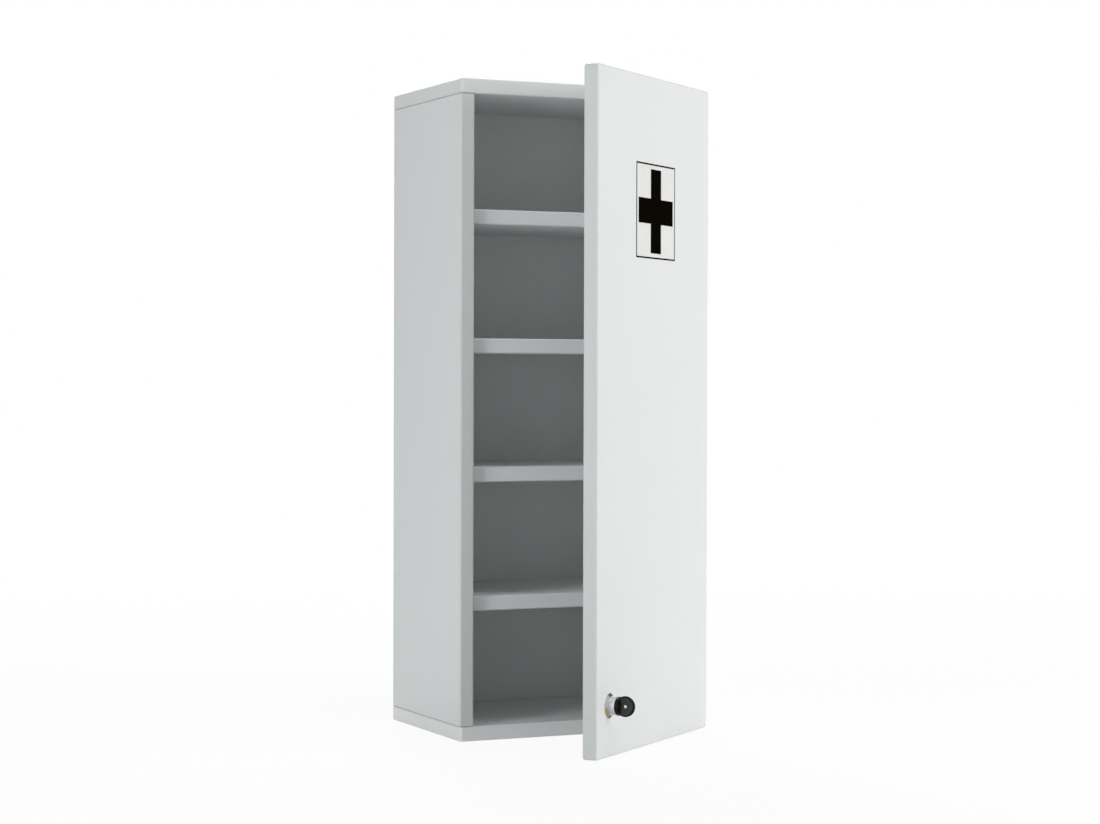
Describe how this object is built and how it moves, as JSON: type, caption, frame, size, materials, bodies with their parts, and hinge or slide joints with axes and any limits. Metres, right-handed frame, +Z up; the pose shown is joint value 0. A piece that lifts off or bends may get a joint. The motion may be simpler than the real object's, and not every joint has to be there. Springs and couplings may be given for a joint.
{
  "type": "lockable medicine cabinet",
  "caption": "Tall white wall cabinet for medicines: laminated board carcass with shelves, a hinged door with a plain cross sign, and a cam lock with its key.",
  "frame": {"origin": "centre of the carcass underside, midway between the outer side faces and midway between the carcass front and the rear face of the back", "axes": "+Z up, +X to the right seen from in front of the door, +Y from the front into the cabinet towards the wall"},
  "size_m": [0.3293, 0.4431, 0.8],
  "materials": {
    "laminate": "white melamine laminate on chipboard, satin",
    "edging": "white plastic edging, satin",
    "cap_plastic": "white moulded plastic",
    "hardboard": "brown hardboard, white on its inner face",
    "nickel_steel": "nickel-plated steel",
    "zinc_steel": "bright zinc-plated steel",
    "chrome": "polished chrome plate",
    "key_plastic": "black moulded plastic, slightly glossy",
    "label": "white self-adhesive film",
    "print_ink": "black printing ink",
    "bumper_rubber": "clear soft silicone"
  },
  "bodies": {
    "carcass": {"left_side": "laminate", "right_side": "laminate", "top_panel": "laminate", "bottom_panel": "laminate", "back_panel": "hardboard", "shelf_1": "laminate", "shelf_2": "laminate", "shelf_3": "laminate", "shelf_4": "laminate", "side_edging": "edging", "top_edging": "edging", "bottom_edging": "edging", "shelf_edging": "edging", "shelf_pins": "nickel_steel", "carcass_screws": "zinc_steel", "cover_caps": "cap_plastic", "back_nails": "zinc_steel", "hanger_left": "zinc_steel", "hanger_right": "zinc_steel", "hanger_screws": "zinc_steel", "strike_plate": "zinc_steel", "strike_screws": "zinc_steel", "hinge_plate_upper": "nickel_steel", "hinge_plate_lower": "nickel_steel", "hinge_plate_screws": "zinc_steel", "hinge_arm_upper": "nickel_steel", "hinge_arm_lower": "nickel_steel", "hinge_arm_screws": "zinc_steel"},
    "door": {"door_panel": "laminate", "door_edging": "edging", "door_bumpers": "bumper_rubber", "sign_label": "label", "sign_print": "print_ink", "hinge_cup_upper": "nickel_steel", "hinge_cup_lower": "nickel_steel", "hinge_cup_screws": "zinc_steel", "hinge_pins": "zinc_steel", "lock_ring": "chrome", "lock_barrel": "chrome", "lock_nut": "zinc_steel"},
    "plug": {"lock_plug": "chrome", "lock_cam": "zinc_steel", "cam_screw": "zinc_steel"},
    "key": {"key_blade": "nickel_steel", "key_bow": "key_plastic"}
  },
  "joints": [
    {"name": "door_swing", "type": "hinge", "parent": "carcass", "child": "door", "pos_m": [0.15506, -0.12247, 0.4], "axis": [0, 0, 1], "range_deg": [-38.8, 56.2]},
    {"name": "lock_turn", "type": "hinge", "parent": "door", "child": "plug", "pos_m": [-0.05873, -0.30591, 0.0615], "axis": [0.6266, -0.7793, 0], "range_deg": [0, 90]},
    {"name": "key_pull", "type": "slide", "parent": "plug", "child": "key", "axis": [0.6266, -0.7793, 0], "range_m": [0, 0.03]}
  ]
}
